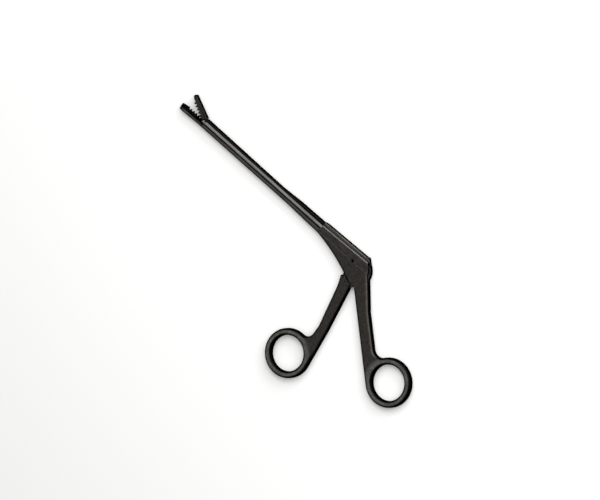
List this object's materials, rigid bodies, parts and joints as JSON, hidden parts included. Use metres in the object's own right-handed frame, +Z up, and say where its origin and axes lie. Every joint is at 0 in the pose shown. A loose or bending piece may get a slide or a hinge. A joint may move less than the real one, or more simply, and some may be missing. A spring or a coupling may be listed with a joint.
{
  "type": "bone rongeur",
  "caption": "Ring-handled bone rongeur: squeezing the front lever slides the upper bar of a long slim shaft and shuts a toothed cup jaw against a fixed one.",
  "frame": {"origin": "on the axis of the main pivot, in the plane the instrument lies on", "axes": "+X from the jaws towards the main pivot, +Y from the handles towards the sliding upper bar, +Z up through the thickness, out of the table"},
  "size_m": [0.2408, 0.1062, 0.006],
  "materials": {
    "handle": "satin black coating on polished forged steel",
    "shaft": "satin black coating on ground steel",
    "slide": "satin black coating on ground steel",
    "jaw": "satin black coating on ground steel",
    "lever": "satin black coating on polished forged steel",
    "pins": "black coated steel, ends ground flush"
  },
  "bodies": {
    "frame": {"rear_handle": "handle", "lower_shaft": "shaft", "main_pivot_pin": "pins", "stop_pin": "pins", "jaw_pivot_pin": "pins"},
    "lever": {"front_handle": "lever"},
    "slider": {"slide": "slide", "slide_drive_pin": "pins", "jaw_drive_pin": "pins", "keeper_studs": "pins"},
    "jaw": {"upper_jaw": "jaw"}
  },
  "joints": [
    {"name": "lever_hinge", "type": "hinge", "parent": "frame", "child": "lever", "pos_m": [0, 0, 0.003], "axis": [0, 0, 1], "range_deg": [0, 12.87]},
    {"name": "slide_travel", "type": "slide", "parent": "frame", "child": "slider", "axis": [-1, 0, 0], "range_m": [0, 0.00184]},
    {"name": "jaw_hinge", "type": "hinge", "parent": "frame", "child": "jaw", "pos_m": [-0.1425, 0.0048, 0.003], "axis": [0, 0, 1], "range_deg": [0, 28]}
  ],
  "couplings": [
    {"joint": "slide_travel", "follows": "lever_hinge", "m_per_rad": 0.008185},
    {"joint": "jaw_hinge", "follows": "lever_hinge", "ratio": 2.1756}
  ]
}
